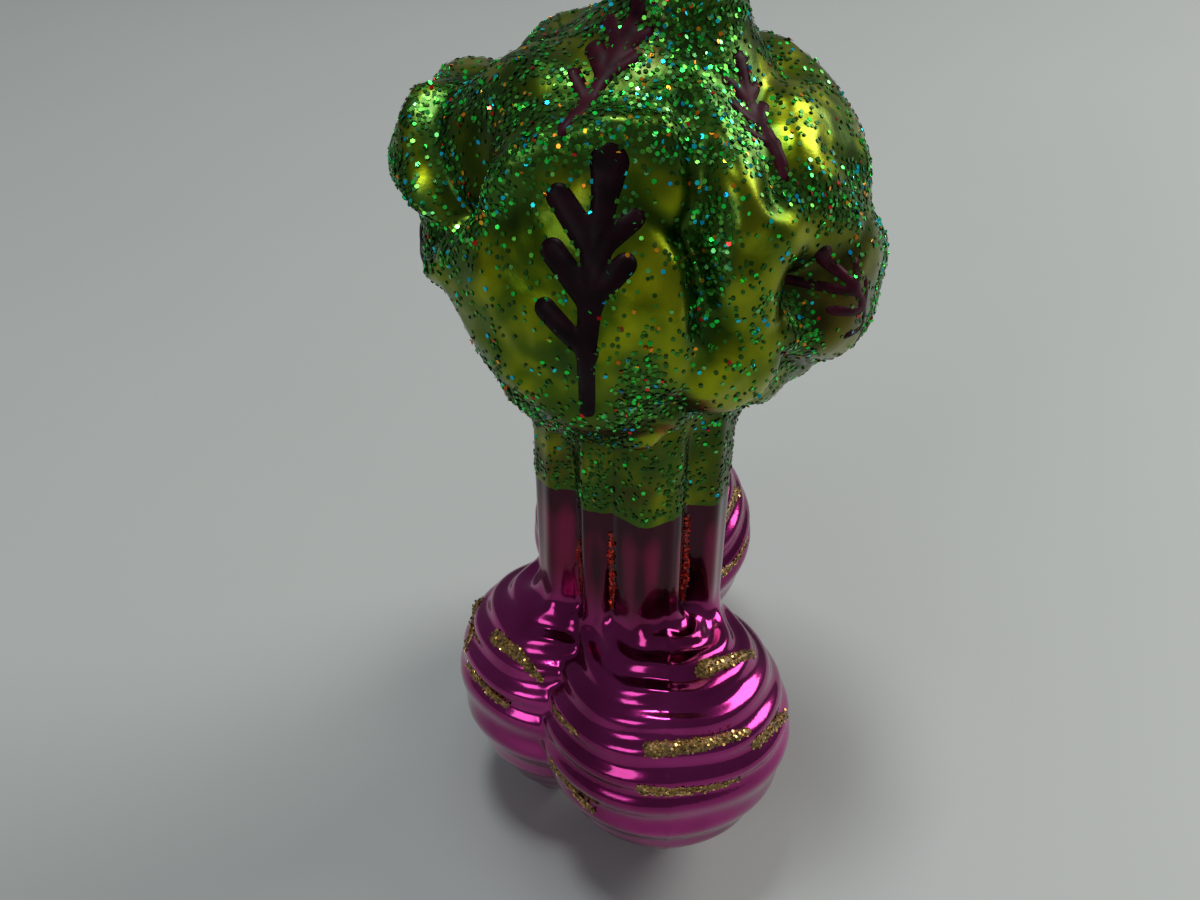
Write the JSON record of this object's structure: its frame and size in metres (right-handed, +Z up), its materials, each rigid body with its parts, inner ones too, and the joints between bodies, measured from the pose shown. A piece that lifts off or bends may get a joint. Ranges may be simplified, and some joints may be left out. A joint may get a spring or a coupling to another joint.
{
  "type": "glass beetroot ornament",
  "caption": "Blown glass tree ornament: a bunch of beets with ringed magenta roots, grooved stalks and a veined, glittered leafy head, hung from a fluted metal cap with a wire loop.",
  "frame": {"origin": "centre of the bounding box's underside, at the level of the root tips", "axes": "+Z up towards the hanger loop, -Y towards the front beet, +X to the right seen from the front"},
  "size_m": [0.0516, 0.065, 0.1258],
  "materials": {
    "magenta_lacquer": "silvered inside, glossy transparent magenta lacquer outside",
    "green_lacquer": "silvered inside, satin yellow-green lacquer outside",
    "maroon_enamel": "thin enamel paint, nearly black",
    "gold_glitter": "gold glitter in clear glue",
    "red_glitter": "red glitter in clear glue",
    "gold_metal": "thin stamped sheet, bright",
    "spring_wire": "drawn wire, bright"
  },
  "bodies": {
    "ornament": {"beet_glass": "magenta_lacquer", "leaf_glass": "green_lacquer", "vein_paint_front": "maroon_enamel", "vein_paint_top": "maroon_enamel", "vein_paint_right": "maroon_enamel", "vein_paint_upper_right": "maroon_enamel", "vein_paint_left": "maroon_enamel", "vein_paint_rear_left": "maroon_enamel", "vein_paint_rear": "maroon_enamel", "vein_paint_rear_right": "maroon_enamel", "gold_line_front_1": "gold_glitter", "gold_line_front_2": "gold_glitter", "gold_line_front_3": "gold_glitter", "gold_line_front_4": "gold_glitter", "gold_line_front_5": "gold_glitter", "gold_line_front_6": "gold_glitter", "gold_line_left_1": "gold_glitter", "gold_line_left_2": "gold_glitter", "gold_line_left_3": "gold_glitter", "gold_line_rear_1": "gold_glitter", "gold_line_rear_2": "gold_glitter", "gold_line_rear_3": "gold_glitter", "gold_line_rear_4": "gold_glitter", "red_line_1": "red_glitter", "red_line_2": "red_glitter", "red_line_3": "red_glitter", "red_line_4": "red_glitter", "red_line_5": "red_glitter", "red_line_6": "red_glitter", "red_line_7": "red_glitter"},
    "cap": {"hanger_cap": "gold_metal"},
    "wire": {"hanger_wire": "spring_wire"}
  },
  "joints": [
    {"name": "cap_pull", "type": "slide", "parent": "ornament", "child": "cap", "axis": [0, 0, 1], "range_m": [0, 0.02]},
    {"name": "wire_slide", "type": "slide", "parent": "cap", "child": "wire", "axis": [0, 0, 1], "range_m": [0, 0.0015]}
  ]
}
